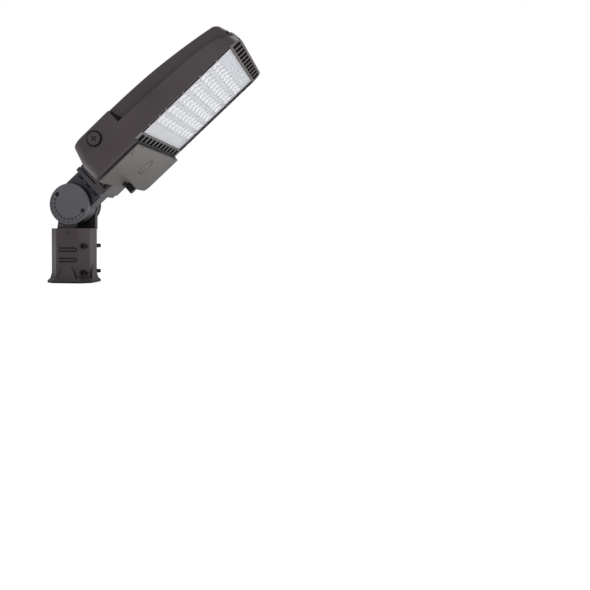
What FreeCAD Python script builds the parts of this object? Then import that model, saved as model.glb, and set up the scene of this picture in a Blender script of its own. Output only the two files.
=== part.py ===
import FreeCAD, Part

import math
import os

Vector = FreeCAD.Vector

# Shoebox area light on a tilting slip fitter. All lengths are millimetres, all angles degrees.
# Row frame: origin at the centre of the sleeve's mouth, +Z up the pole, +X towards the head,
# Y along the hinge. The arm and head are drawn level in the head frame (u, v, w), whose origin
# is on the hinge: u runs out along the arm, v along the hinge, w away from the light. They are
# then tilted up about the hinge.

# ---- stored pose and hinge ----
tilt = 42.4
hinge_x = 3.0
hinge_rise = 46.4            # hinge axis above the sleeve's deck

# ---- sleeve of the slip fitter ----
tenon_bore_r = 31.0          # clears a 60.3 mm pole tenon
tenon_bore_depth = 92.0
deck_thickness = 12.8
sleeve_wall_x = 7.8          # wall across the flats, along X
sleeve_wall_y = 4.8          # wall across the flats, along Y
sleeve_chamfer = 15.9
wire_hole_r = 11.0
lip_out = 6.0
lip_height = 4.5
lip_flare = 6.5
arch_half_width = 19.0
arch_apex_z = 36.0
arch_out = 4.6
arch_flats = 10

groove_zs = (63.9, 44.2)
groove_start_x = -17.0
groove_end_x = 19.3
groove_mid_r = 3.05
groove_width = 3.0
groove_sides = 16
groove_depth = 2.0

pointer_z = 95.0
pointer_half_width = 5.0
pointer_height = 6.6
pointer_stroke = 1.7
pointer_raise = 0.9

# ---- set screws ----
set_screw_r = 4.0
set_screw_sides = 12
set_screw_zs = (20.0, 70.4)
set_screw_stand_out = 13.5
set_screw_tip_gap = 0.8      # tip stays this far outside the tenon bore
set_screw_socket_flats = 4.0
set_screw_socket_depth = 4.0
thread_gap = 0.1             # radial room round every screw shank

# ---- fork ears ----
ear_thickness = 13.0
ear_wall = 3.6
ear_side_gap = 0.6           # arm's flank to ear, each side
near_neck_back_x = -22.5
near_neck_front_x = 12.0
neck_lean = 4.0
far_neck_front_x = 36.0

# ---- knuckle arm ----
hub_r = 34.0
hub_running_gap = 0.05       # radial, hub in ear ring
barrel_r = 36.0
arm_half_width = 18.4
neck_below = 28.5            # neck's underside below the hinge axis
neck_above = 38.5
neck_above_from = 12.0
hub_bore_r = 24.5
hub_bore_end_wall = 5.0
channel_half_width = 11.0
channel_low = -18.0
channel_high = 24.0
slab_start = 55.5
slab_thickness = 8.5
slab_half_width = 41.0
slab_low = -32.0
slab_high = 37.5
slab_corner = 2.5
lead_slot_half_width = 7.0
lead_slot_from = -195.0      # slot round the barrel for the leads, head-frame angles
lead_slot_to = -105.0

# ---- dials ----
dial_r = 39.4
dial_thickness = 3.6
dial_ear_gap = 0.3
dial_edge = 0.6
dial_sides = 64
dial_screw_circle_r = 30.2
dial_screw_angles = (99.0, -66.7)
dial_screw_r = 2.0
dial_screw_head_r = 4.1
dial_screw_head = 2.0
dial_screw_length = 14.0
dial_screw_socket_flats = 2.5

# ---- arm bolts and gasket ----
arm_bolt_r = 3.0
arm_bolt_head_r = 5.0
arm_bolt_head = 6.0
arm_bolt_reach = 12.0        # thread in the head's boss
arm_bolt_ws = (-15.9, 5.4, 26.7)
arm_bolt_side = 2.5          # bolt axis outside the neck's flank
pocket_r = 5.6
pocket_length = 10.0
socket_flats = 5.0
gasket_thickness = 2.6
gasket_margin = 3.5
gasket_low = -8.0

# ---- head: driver box ----
box_half_width = 151.4
box_front = 191.5
box_rear_corner = 26.0
box_sections = (             # rear face u, inset from the half width, height w of each section
    (92.0, 1.8, -37.7),
    (90.2, 0.0, -32.0),
    (89.2, 0.0, 0.0),
    (99.0, 0.0, 35.5),
    (99.5, 1.0, 37.0),
)
box_wall = 2.6
box_floor = 2.5
partition = 3.0
boss_half_width = 41.0
boss_low = -34.0
boss_high = 36.0
boss_lip_top = -9.0
side_pocket = (72.0, 91.0, -29.0, -13.0)
side_pocket_depth = 4.0
side_pocket_rib = 2.6

# ---- head: lower band and raised top ----
head_front = 440.5
band_corner = 24.0
band_front_steps = ((440.5, -31.8), (438.0, -14.0), (434.0, -5.0), (431.5, 1.0))
rim_w = -31.8
ledge_points = ((191.6, 10.3), (247.0, 8.6), (301.0, 6.1), (373.0, 1.0), (414.5, -8.5), (432.0, -18.5))
band_wall = 2.0
band_floor = 3.0
top_side_step = 11.0
top_corner = 6.0
top_points = ((191.6, 38.9), (219.0, 38.4), (256.0, 37.1), (297.0, 34.4), (336.0, 30.2), (374.0, 25.0), (411.0, 18.7))
top_brow_steps = ((430.2, 6.0), (428.2, 11.5), (423.6, 15.8))
corner_flats = 3
top_wall = 2.5
top_opening = (205.0, 400.0)
top_opening_margin = 8.0
vent_notch = ((191.5, 36.0), (201.5, 10.4), (191.5, 10.4))
front_vent = (-10.0, -5.5)   # slot that wraps the front of the raised top
front_vent_start = 429.5
front_vent_depth = 5.0

# ---- head: grilles and side slots ----
grille_count = 11
grille_bar = 6.2
grille_side_margin = 13.4
grille_end_extra = 2.45      # the end slots are this much wider
grille_corner = 8.0
front_grille = (421.0, 436.6)
rear_grille = (193.4, 207.0)
side_slot_margin = 1.9
side_slot_width = 7.5
side_slot_posts = (228.3, 251.5, 267.6, 307.5, 346.9, 385.3)
side_post_width = 2.6
side_slot_span = (209.6, 417.5)

# ---- light engine ----
opening_u = (209.6, 416.7)
opening_side_margin = 11.1
ring_wall_side = 1.7
ring_wall_rear = 1.8
ring_wall_front = 3.7
ring_top_w = -25.2
sink_plate = 4.2
sink_margin = 0.3
fin_side_count = 10
fin_thickness = 2.0
fin_u = (197.0, 424.0)
fin_below_top = 6.0
board_thickness = 1.6
board_margin = 3.6
board_side_margin = 5.3
lens_edge_gap = 0.5
lens_sheet = 2.0
lens_sheet_w = -29.3         # outer face of the flat sheet
lens_rows = 6
lens_row_first = 247.7
lens_row_pitch = 26.76
lens_columns = 10
lens_dome_sections = ((9.6, 0.0), (6.2, 2.8))
lens_dome_sides = 8
chip_size = 5.0
chip_thickness = 0.4
connector = (15.0, 7.0, 3.0)
connector_from_edge = 10.5
connector_back = 18.0        # connector sits this far behind its row
end_cover = (16.0, 21.0, 2.2)
end_cover_v = -38.0
end_cover_inset = 18.0
board_screw_v = 51.0
board_screw_u = 312.0
board_screw_head_r = 3.2
board_screw_head = 1.6
board_screw_shank_r = 1.6

# ---- side plug ----
plug_u = 140.8
plug_w = 19.1
plug_head_r = 11.3
plug_head = 3.0
plug_shank_r = 8.6
plug_length = 12.0
plug_gap = 0.6               # radial, round the plug's head
plug_scoop_foot_r = 12.6
plug_scoop_r = 17.6
plug_scoop_depth = 2.4
plug_boss_depth = 5.0
plug_cross = (12.4, 2.3, 1.8)
plug_seal_section = 1.2
plug_sides = 24

# ---- driver door ----
door_rear = 95.0
door_side_margin = 3.7
door_thickness = 3.2
door_corner = 14.0
door_notch_mouth = 43.0
door_notch_floor = 27.0
door_notch_depth = 12.0
door_tab_half_width = 8.0
door_tab_end = 95.5
door_nose_setback = 1.5
door_ring_u = 152.0
door_ring_r = 17.8
door_ring_width = 1.7
door_ring_depth = 1.0
door_ring_sides = 32
door_mark_u = 178.0
door_mark_v = 137.0
seal_thickness = 1.5
seal_width = 3.2
seal_inset = 1.2
knuckle_length = 9.0
knuckle_v = 120.0
lug_thickness = 3.0
lug_side_gap = 0.4
pin_r = 0.9
pin_running_gap = 0.06
relief_gap = 0.5

# ---- door knob ----
knob_u = 103.0
knob_r = 6.8
knob_length = 16.0
knob_collar_r = 5.0
knob_collar = 2.0
knob_flutes = 10
knob_flute_depth = 0.8
stem_r = 2.4
stem_room = 0.7              # radial, so that the stem clears as the door swings
stem_reach = 3.4             # beyond the box floor's lower face
clip_r = 4.6
clip_thickness = 0.8

# ---- inside the driver box ----
driver_size = (62.0, 190.0, 36.0)
driver_centre_u = 138.0
driver_centre_v = -8.0
driver_foot = 12.0
driver_foot_thickness = 2.0
driver_foot_inset = 6.0
driver_boss_height = 8.0
driver_boss_r = 4.5
driver_screw_r = 1.9
driver_screw_head_r = 3.6
driver_screw_head = 2.2
driver_screw_reach = 5.0
driver_foot_hole_u = 18.0
surge_size = (22.0, 27.0, 26.0)
surge_side_gap = 2.8
surge_foot_gap = 2.0
terminal_size = (34.0, 16.0, 14.0)
terminal_side_gap = 8.8
terminal_u = 140.0
terminal_poles = 3
ground_u = 170.0
ground_r = 2.4
ground_head_r = 4.4
ground_head = 3.0
ground_length = 7.0
ground_boss_r = 5.5
ground_boss_height = 6.0
lead_r = 2.4
lead_out = 20.5             # from the driver's end
lead_w = 4.0
lead_start_u = 150.0
lead_drop_u = 222.0
lead_bend_r = 8.0
lead_hole_gap = 0.3
grommet_r = 5.0
grommet_flange_r = 7.0
grommet_flange = 1.2

# ---- values worked out from the ones above ----
sleeve_half_x = tenon_bore_r + sleeve_wall_x
sleeve_half_y = tenon_bore_r + sleeve_wall_y
sleeve_height = tenon_bore_depth + deck_thickness
hinge_z = sleeve_height + hinge_rise
ear_inner_y = arm_half_width + ear_side_gap
ear_outer_y = ear_inner_y + ear_thickness
ear_bore_r = hub_r + hub_running_gap
ear_r = ear_bore_r + ear_wall
hub_end_y = ear_outer_y + dial_ear_gap
slab_end = slab_start + slab_thickness
boss_face = slab_end + gasket_thickness
box_bottom_w = box_sections[0][2]
box_top_w = box_sections[-1][2]
ceiling_w = box_top_w - box_wall
floor_top_w = box_bottom_w + box_floor
door_inner_w = box_bottom_w - seal_thickness
door_outer_w = door_inner_w - door_thickness
nose_w = (door_inner_w + door_outer_w) / 2
nose_r = door_thickness / 2
door_nose_u = box_front - door_nose_setback
door_half_width = box_half_width - door_side_margin
top_half_width = box_half_width - top_side_step
opening_half_v = box_half_width - opening_side_margin
side_slot = (box_half_width - side_slot_margin - side_slot_width, box_half_width - side_slot_margin)
grille_end = box_half_width - grille_side_margin
grille_pitch = (2 * (grille_end - grille_end_extra) + grille_bar) / grille_count
fin_pitch = (opening_half_v + ring_wall_side) / (fin_side_count + 1.2)
surge_u = driver_centre_u + driver_size[0] / 2 - driver_foot_inset + surge_foot_gap + surge_size[0] / 2
surge_v = surge_size[1] / 2 + surge_side_gap + box_wall - box_half_width
terminal_v = box_half_width - box_wall - terminal_side_gap - terminal_size[1] / 2
lead_v = driver_centre_v + driver_size[1] / 2 + lead_out
board_front_w = ring_top_w - board_thickness
sink_top_w = ring_top_w + sink_plate
lens_inner_w = lens_sheet_w + lens_sheet
lens_u0 = opening_u[0] + lens_edge_gap
lens_u1 = opening_u[1] - lens_edge_gap
lens_half_v = opening_half_v - lens_edge_gap
board_half_v = lens_half_v - board_side_margin
lens_column_pitch = 2 * board_half_v / (lens_columns + 0.35)
connector_v = board_half_v - connector_from_edge
board_u0 = lens_u0 + board_margin
board_u1 = lens_u1 - board_margin


# ---- drawing helpers ----
def box(x0, x1, y0, y1, z0, z1):
    """Block between two corners."""
    return Part.makeBox(x1 - x0, y1 - y0, z1 - z0, Vector(x0, y0, z0))


def rod(radius, start, axis, length):
    """Cylinder from start along axis."""
    return Part.makeCylinder(radius, length, Vector(*start), Vector(*axis))


def on_xy(a, b):
    return Vector(a, b, 0)


def on_xz(a, b):
    return Vector(a, 0, b)


def on_yz(a, b):
    return Vector(0, a, b)


def outline(corners, plane):
    """Closed wire through (a, b) or (a, b, radius) corners, rounded where a radius is given."""
    edges = []
    count = len(corners)
    starts = []
    ends = []
    mids = []
    for index, corner in enumerate(corners):
        here = plane(corner[0], corner[1])
        radius = corner[2] if len(corner) > 2 else 0
        if radius == 0:
            starts.append(here)
            ends.append(here)
            mids.append(None)
            continue
        before = corners[index - 1]
        after = corners[(index + 1) % count]
        back = plane(before[0], before[1]).sub(here).normalize()
        ahead = plane(after[0], after[1]).sub(here).normalize()
        half_angle = back.getAngle(ahead) / 2
        reach = radius / math.tan(half_angle)
        inward = back.add(ahead).normalize()
        starts.append(here.add(Vector(back).multiply(reach)))
        ends.append(here.add(Vector(ahead).multiply(reach)))
        mids.append(here.add(Vector(inward).multiply(radius / math.sin(half_angle) - radius)))
    for index in range(count):
        if mids[index] is not None:
            edges.append(Part.Arc(starts[index], mids[index], ends[index]).toShape())
        following = starts[(index + 1) % count]
        if ends[index].sub(following).Length > 1e-6:
            edges.append(Part.LineSegment(ends[index], following).toShape())
    return Part.Wire(edges)


def prism_z(corners, z0, z1):
    """Outline in the XY plane, drawn from z0 to z1."""
    wire = outline(corners, on_xy)
    wire.translate(Vector(0, 0, z0))
    return Part.Face(wire).extrude(Vector(0, 0, z1 - z0))


def prism_y(corners, y0, y1):
    """Outline in the XZ plane, drawn from y0 to y1."""
    wire = outline(corners, on_xz)
    wire.translate(Vector(0, y0, 0))
    return Part.Face(wire).extrude(Vector(0, y1 - y0, 0))


def prism_x(corners, x0, x1):
    """Outline in the YZ plane, drawn from x0 to x1."""
    wire = outline(corners, on_yz)
    wire.translate(Vector(x0, 0, 0))
    return Part.Face(wire).extrude(Vector(x1 - x0, 0, 0))


def fused(shapes):
    """One solid from pieces that meet."""
    first = shapes[0]
    if len(shapes) == 1:
        return first
    return first.fuse(shapes[1:]).removeSplitter()


def group(shapes):
    """Separate solids that share a node."""
    return Part.makeCompound(shapes)


def ring_of(radius, sides, height):
    """Closed regular polygon at a height on the Z axis."""
    points = []
    for corner in range(sides + 1):
        angle = 2 * math.pi * corner / sides
        points.append(Vector(radius * math.cos(angle), radius * math.sin(angle), height))
    return Part.makePolygon(points)


def peg(radius, start, axis, length, sides=8):
    """Small pin or hole with flat sides, which costs far fewer faces than a cylinder."""
    prism = Part.Face(ring_of(radius, sides, 0)).extrude(Vector(0, 0, length))
    turn = FreeCAD.Rotation(Vector(0, 0, 1), Vector(*axis))
    prism.Placement = FreeCAD.Placement(Vector(*start), turn)
    return prism


def taper(start_r, end_r, start, axis, length, sides):
    """Flat-sided cone from one radius to another."""
    cone = Part.makeLoft([ring_of(start_r, sides, 0), ring_of(end_r, sides, length)], True, True)
    turn = FreeCAD.Rotation(Vector(0, 0, 1), Vector(*axis))
    cone.Placement = FreeCAD.Placement(Vector(*start), turn)
    return cone


def faceted_dome(sections, sides, base):
    """Flat-faced dome hanging down from a base height; sections are (radius, drop)."""
    rings = [ring_of(radius, sides, base - drop).Vertexes for radius, drop in sections]
    faces = []
    for near, far in zip(rings, rings[1:]):
        for corner in range(sides):
            following = (corner + 1) % sides
            quad = [near[corner].Point, near[following].Point, far[following].Point, far[corner].Point]
            faces.append(Part.Face(Part.makePolygon(quad + quad[:1])))
    for radius, drop in (sections[0], sections[-1]):
        faces.append(Part.Face(ring_of(radius, sides, base - drop)))
    return Part.makeSolid(Part.makeShell(faces))


def hexagon(flats, start, axis, depth):
    """Hexagonal prism, for screw sockets and heads."""
    return peg(flats / math.sqrt(3), start, axis, depth, 6)


def socket_screw(shank_r, head_r, head_height, length, flats, seat, axis):
    """Cap screw: seat is the point under its head, axis points from the tip out of the head."""
    out = Vector(*axis).normalize()
    start = Vector(*seat)
    shank = peg(shank_r, seat, tuple(out.negative()), length)
    head = peg(head_r, seat, tuple(out), head_height, 12)
    socket_depth = head_height * 0.6
    floor = start.add(Vector(out).multiply(head_height - socket_depth))
    return fused([head, shank]).cut(hexagon(flats, tuple(floor), tuple(out), socket_depth + 1))


def eased_path(points, radius):
    """Points of a route with each turn taken in three short steps."""
    route = [points[0]]
    for index in range(1, len(points) - 1):
        corner = points[index]
        back = points[index - 1].sub(corner).normalize()
        ahead = points[index + 1].sub(corner).normalize()
        near = radius * 0.42
        route.append(corner.add(Vector(back).multiply(radius)))
        route.append(corner.add(Vector(back).multiply(near)).add(Vector(ahead).multiply(radius * 0.13)))
        route.append(corner.add(Vector(ahead).multiply(near)).add(Vector(back).multiply(radius * 0.13)))
        route.append(corner.add(Vector(ahead).multiply(radius)))
    route.append(points[-1])
    return route


def in_head(shape):
    """Move a shape from the level head frame to its tilted place in the row frame."""
    turn = FreeCAD.Rotation(Vector(0, 1, 0), -tilt)
    place = FreeCAD.Placement(Vector(hinge_x, 0, hinge_z), turn)
    moved = shape.copy()
    moved.Placement = place.multiply(moved.Placement)
    return moved


# ---- slip fitter ----
def octagon(half_x, half_y, chamfer):
    """Corners of the sleeve's section."""
    return [
        (half_x, -half_y + chamfer), (half_x, half_y - chamfer),
        (half_x - chamfer, half_y), (-half_x + chamfer, half_y),
        (-half_x, half_y - chamfer), (-half_x, -half_y + chamfer),
        (-half_x + chamfer, -half_y), (half_x - chamfer, -half_y),
    ]


def sleeve_body():
    """Octagonal sleeve with its flared foot."""
    section = octagon(sleeve_half_x, sleeve_half_y, sleeve_chamfer)
    foot = octagon(sleeve_half_x + lip_out, sleeve_half_y + lip_out, sleeve_chamfer)
    foot_wire = outline(foot, on_xy)
    foot_wire.translate(Vector(0, 0, lip_height))
    neck_wire = outline(section, on_xy)
    neck_wire.translate(Vector(0, 0, lip_height + lip_flare))
    flare = Part.makeLoft([foot_wire, neck_wire], True, True)
    return fused([prism_z(section, 0, sleeve_height), prism_z(foot, 0, lip_height), flare])


def arch_flare(face_distance):
    """Arched flare that swells from a side face down to the foot, drawn on the -Y face."""
    low = lip_height - 0.5
    crown = []
    for step in range(arch_flats + 1):
        across = 2 * step / arch_flats - 1
        crown.append((arch_half_width * across, low + (arch_apex_z - low) * (1 - across ** 2)))
    reach = face_distance + arch_out
    arch = prism_y(crown, -reach, 0)
    wedge = prism_x([
        (-face_distance + 1, low), (-reach, low), (-face_distance, arch_apex_z), (-face_distance + 1, arch_apex_z),
    ], -arch_half_width, arch_half_width)
    return arch.common(wedge)


def hairpin_groove(centre_z):
    """Two level grooves joined by a half round, open at the back."""
    outer_r = groove_mid_r + groove_width / 2
    inner_r = groove_mid_r - groove_width / 2
    bend_x = groove_end_x - outer_r
    y0 = -sleeve_half_y - 1
    y1 = -sleeve_half_y + groove_depth
    across = (0, 1, 0)
    outer = fused([
        box(groove_start_x, bend_x, y0, y1, centre_z - outer_r, centre_z + outer_r),
        peg(outer_r, (bend_x, y0, centre_z), across, y1 - y0, groove_sides),
    ])
    inner = fused([
        box(groove_start_x - 1, bend_x, y0, y1, centre_z - inner_r, centre_z + inner_r),
        peg(inner_r, (bend_x, y0, centre_z), across, y1 - y0, groove_sides),
    ])
    return outer.cut(inner)


def pointer_mark():
    """Raised chevron that the dial is read against."""
    foot = pointer_half_width
    step = pointer_stroke * 1.25
    return prism_y([
        (-foot, pointer_z), (0, pointer_z + pointer_height), (foot, pointer_z),
        (foot - step, pointer_z), (0, pointer_z + pointer_height - step * 1.6), (step - foot, pointer_z),
    ], -sleeve_half_y - pointer_raise, -sleeve_half_y + 0.5)


def ear(side, neck_front_x, neck_front_lean):
    """One ring ear with its neck; side is -1 near, +1 far."""
    y0 = min(side * ear_inner_y, side * ear_outer_y)
    y1 = y0 + ear_thickness
    ring = rod(ear_r, (hinge_x, y0, hinge_z), (0, 1, 0), ear_thickness)
    neck_top = hinge_z - ear_r / 2
    neck = prism_y([
        (near_neck_back_x, sleeve_height - 1), (neck_front_x, sleeve_height - 1),
        (neck_front_x + neck_front_lean, neck_top), (near_neck_back_x + neck_lean, neck_top),
    ], y0, y1)
    bore = rod(ear_bore_r, (hinge_x, y0 - 1, hinge_z), (0, 1, 0), ear_thickness + 2)
    return fused([ring, neck]).cut(bore)


def set_screw_places():
    """Axis direction and height of each set screw."""
    places = []
    for side in (-1, 1):
        for z in set_screw_zs:
            places.append(((math.sqrt(0.5), side * math.sqrt(0.5), 0), z))
    return places


def corner_face_distance():
    """Distance from the bore's axis to a corner face of the sleeve."""
    return (sleeve_half_x + sleeve_half_y - sleeve_chamfer) * math.sqrt(0.5)


def slip_fitter():
    body = sleeve_body()
    flares = []
    for turns in range(4):
        distance = sleeve_half_y if turns % 2 == 0 else sleeve_half_x
        flare = arch_flare(distance)
        flare.rotate(Vector(0, 0, 0), Vector(0, 0, 1), 90 * turns)
        flares.append(flare)
    ears = [ear(-1, near_neck_front_x, neck_lean), ear(1, far_neck_front_x, 0)]
    body = fused([body] + flares + ears + [pointer_mark()])
    body = body.cut(rod(tenon_bore_r, (0, 0, -1), (0, 0, 1), tenon_bore_depth + 1))
    body = body.cut(peg(wire_hole_r, (hinge_x, 0, tenon_bore_depth - 1), (0, 0, 1), deck_thickness + 2, 24))
    for centre_z in groove_zs:
        body = body.cut(hairpin_groove(centre_z))
    for axis, z in set_screw_places():
        hole = peg(set_screw_r + thread_gap, (0, 0, z), axis, corner_face_distance() + lip_out, set_screw_sides)
        body = body.cut(hole)
    return body


def set_screws():
    """Four socket set screws, tips just outside the tenon bore."""
    screws = []
    start = tenon_bore_r + set_screw_tip_gap
    length = corner_face_distance() + set_screw_stand_out - start
    for axis, z in set_screw_places():
        foot = (axis[0] * start, axis[1] * start, z)
        screw = peg(set_screw_r, foot, axis, length, set_screw_sides)
        end = start + length - set_screw_socket_depth
        socket_foot = (axis[0] * end, axis[1] * end, z)
        screws.append(screw.cut(hexagon(set_screw_socket_flats, socket_foot, axis, set_screw_socket_depth + 1)))
    return group(screws)


# ---- arm and dials, in the head frame ----
def arm_bolt_places():
    """(v, w) of each arm bolt."""
    offset = arm_half_width + arm_bolt_side
    return [(side * offset, w) for side in (-1, 1) for w in arm_bolt_ws]


def dial_screw_places():
    """(u, w) of the two screws in each dial."""
    places = []
    for angle in dial_screw_angles:
        turn = math.radians(angle)
        places.append((dial_screw_circle_r * math.cos(turn), dial_screw_circle_r * math.sin(turn)))
    return places


def slab_outline(margin, low, high):
    """Rounded outline of the bolting flange in the (v, w) plane."""
    half = slab_half_width - margin
    return [
        (-half, low, slab_corner), (half, low, slab_corner),
        (half, high, slab_corner), (-half, high, slab_corner),
    ]


def wire_channel(u0, u1):
    """Passage for the leads through neck, gasket and boss."""
    corner = channel_half_width / 2
    return prism_x([
        (-channel_half_width, channel_low, corner), (channel_half_width, channel_low, corner),
        (channel_half_width, channel_high, corner), (-channel_half_width, channel_high, corner),
    ], u0, u1)


def lead_slot():
    """Slot round the barrel's underside through which the leads drop into the sleeve."""
    points = [Vector(0, -lead_slot_half_width, 0)]
    reach = barrel_r * 1.5
    steps = 3
    for step in range(steps + 1):
        turn = math.radians(lead_slot_from + (lead_slot_to - lead_slot_from) * step / steps)
        points.append(Vector(reach * math.cos(turn), -lead_slot_half_width, reach * math.sin(turn)))
    points.append(points[0])
    sector = Part.Face(Part.makePolygon(points)).extrude(Vector(0, 2 * lead_slot_half_width, 0))
    return sector


def knuckle_arm():
    across = (0, 1, 0)
    hub = rod(hub_r, (0, -hub_end_y, 0), across, 2 * hub_end_y)
    barrel = rod(barrel_r, (0, -arm_half_width, 0), across, 2 * arm_half_width)
    neck = prism_y([
        (0, -neck_below), (slab_start + 1, -neck_below), (slab_start + 1, neck_above),
        (neck_above_from, neck_above), (0, barrel_r),
    ], -arm_half_width, arm_half_width)
    slab = prism_x(slab_outline(0, slab_low, slab_high), slab_start, slab_end)
    arm = fused([hub, barrel, neck, slab])
    bore_end = hub_end_y - hub_bore_end_wall
    arm = arm.cut(peg(hub_bore_r, (0, -bore_end, 0), across, 2 * bore_end, 32))
    arm = arm.cut(wire_channel(hub_bore_r / 2, slab_end + 1))
    arm = arm.cut(lead_slot())
    for v, w in arm_bolt_places():
        arm = arm.cut(peg(pocket_r, (slab_start - pocket_length, v, w), (1, 0, 0), pocket_length, 12))
        arm = arm.cut(peg(arm_bolt_r + thread_gap, (slab_start - 1, v, w), (1, 0, 0), slab_thickness + 2))
    for side in (-1, 1):
        for u, w in dial_screw_places():
            start = (u, side * (hub_end_y + 1), w)
            arm = arm.cut(peg(dial_screw_r + thread_gap, start, (0, -side, 0), dial_screw_length + 1))
    return arm


def dial(side):
    """Scale cap on one end of the hub, with counterbored screw holes."""
    face = hub_end_y + dial_thickness
    disc = peg(dial_r, (0, side * hub_end_y, 0), (0, side, 0), dial_thickness - dial_edge, dial_sides)
    rim = taper(dial_r, dial_r - dial_edge, (0, side * (face - dial_edge), 0), (0, side, 0), dial_edge, dial_sides)
    cap = fused([disc, rim])
    for u, w in dial_screw_places():
        cap = cap.cut(peg(dial_screw_r + thread_gap, (u, side * (hub_end_y - 1), w), (0, side, 0), dial_thickness + 2))
        seat = face - dial_screw_head
        cap = cap.cut(peg(dial_screw_head_r + thread_gap, (u, side * seat, w), (0, side, 0), dial_screw_head + 1, 12))
    return cap


def dial_screws():
    screws = []
    seat = hub_end_y + dial_thickness - dial_screw_head
    for side in (-1, 1):
        for u, w in dial_screw_places():
            screws.append(socket_screw(
                dial_screw_r, dial_screw_head_r, dial_screw_head, dial_screw_length,
                dial_screw_socket_flats, (u, side * seat, w), (0, side, 0)))
    return group(screws)


def arm_bolts():
    length = slab_thickness + gasket_thickness + arm_bolt_reach
    screws = []
    for v, w in arm_bolt_places():
        screws.append(socket_screw(
            arm_bolt_r, arm_bolt_head_r, arm_bolt_head, length, socket_flats,
            (slab_start, v, w), (-1, 0, 0)))
    return group(screws)


def arm_gasket():
    plate = prism_x(slab_outline(gasket_margin, gasket_low, slab_high - gasket_margin), slab_end, boss_face)
    plate = plate.cut(wire_channel(slab_end - 1, boss_face + 1))
    for v, w in arm_bolt_places():
        plate = plate.cut(peg(arm_bolt_r + thread_gap, (slab_end - 1, v, w), (1, 0, 0), gasket_thickness + 2))
    return plate


# ---- housing ----
def rear_rounded(u0, u1, half, radius, w):
    """Section of the driver box: square in front, round corners at the rear."""
    wire = outline([(u1, -half), (u1, half), (u0, half, radius), (u0, -half, radius)], on_xy)
    wire.translate(Vector(0, 0, w))
    return wire


def box_block(inset, low, high):
    """Driver box, or its cavity when inset, between two heights."""
    wires = []
    front = box_front - (partition if inset else 0)
    for rear, side_inset, w in box_sections:
        half = box_half_width - side_inset - inset
        wires.append(rear_rounded(rear + inset, front, half, box_rear_corner - inset, w))
    block = Part.makeLoft(wires, True, True)
    slab = box(0, head_front, -2 * box_half_width, 2 * box_half_width, low, high)
    return block.common(slab)


def front_plan(u1, half, radius):
    """Corners of a plan from the partition to a front face with round corners."""
    rear = box_front - partition
    return [(rear, -half), (u1, -half, radius), (u1, half, radius), (rear, half)]


def front_rounded(u1, half, radius, w):
    """Section of the band: round corners at the front."""
    wire = outline(front_plan(u1, half, radius), on_xy)
    wire.translate(Vector(0, 0, w))
    return wire


def front_chorded(u1, half, radius, w):
    """Section with each front corner cut in a few flats."""
    rear = box_front - partition
    points = [(rear, -half)]
    for side in (-1, 1):
        for step in range(corner_flats + 1):
            turn = math.radians(90 * step / corner_flats)
            along = math.sin(turn) if side < 0 else math.cos(turn)
            across = math.cos(turn) if side < 0 else math.sin(turn)
            points.append((u1 - radius + radius * along, side * (half - radius + radius * across)))
    points.append((rear, half))
    wire = outline(points, on_xy)
    wire.translate(Vector(0, 0, w))
    return wire


def curve_through(points):
    """Smooth edge through profile points."""
    spline = Part.BSplineCurve()
    spline.interpolate([Vector(u, 0, w) for u, w in points])
    return spline


def under_curve(points, drop, low, half, tail):
    """Everything below a lengthwise curve, down to low; tail corners close the front.

    The curve is smooth outside, and runs straight from point to point when it is lowered for
    a cavity.
    """
    crest = [Vector(u, 0, w - drop) for u, w in points]
    first = crest[0]
    last = crest[-1]
    rear = box_front - partition
    path = [last] + [Vector(u, 0, w) for u, w in tail]
    path += [Vector(path[-1].x, 0, low), Vector(rear, 0, low), Vector(rear, 0, first.z), first]
    if drop:
        path += crest[1:]
        edges = []
    else:
        edges = [curve_through(points).toShape()]
    for start, end in zip(path, path[1:]):
        edges.append(Part.LineSegment(start, end).toShape())
    face = Part.Face(Part.Wire(edges))
    face.translate(Vector(0, -half, 0))
    return face.extrude(Vector(0, 2 * half, 0))


def band_block(inset):
    """Lower band, or its cavity when inset; the cavity's corners are chorded."""
    section = front_chorded if inset else front_rounded
    steps = band_front_steps + ((band_front_steps[-1][0], ledge_points[0][1] + 1),)
    wires = [
        section(front - inset, box_half_width - inset, band_corner - inset, w)
        for front, w in steps
    ]
    block = Part.makeLoft(wires, True, True)
    low = rim_w + (band_floor if inset else 0)
    last_w = ledge_points[-1][1] - inset
    tail = [(head_front + 1, last_w)]
    return block.common(under_curve(ledge_points, inset, low, 2 * box_half_width, tail))


def top_block(inset, low):
    """Raised top, or its cavity when inset; its front falls in steps to the band's crest."""
    half = top_half_width - inset
    wires = []
    steps = band_front_steps + top_brow_steps
    for front, w in steps:
        wires.append(front_chorded(front - inset, half, top_corner - inset, w - (inset if w > 0 else 0)))
    crown = steps[-1][0] - inset
    wires.append(front_chorded(crown, half, top_corner - inset, box_top_w + hinge_rise))
    brow_w = steps[-1][1] - inset
    tail = [(crown, brow_w), (head_front + 1, brow_w)]
    profile = under_curve(top_points, inset, low, 2 * top_half_width, tail)
    return Part.makeLoft(wires, True, True).common(profile)


def front_vent_slot():
    """Slot wrapped round the raised top's front, above the band."""
    w0, w1 = front_vent
    outer = prism_z(front_plan(head_front + 2, top_half_width + 2, top_corner + 2), w0, w1)
    reach = band_front_steps[1][0] - front_vent_depth
    core = prism_z(front_plan(reach, top_half_width - front_vent_depth, top_corner - front_vent_depth), w0, w1)
    start = box(front_vent_start, head_front + 3, -box_half_width, box_half_width, w0, w1)
    return outer.cut(core).common(start)


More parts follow.
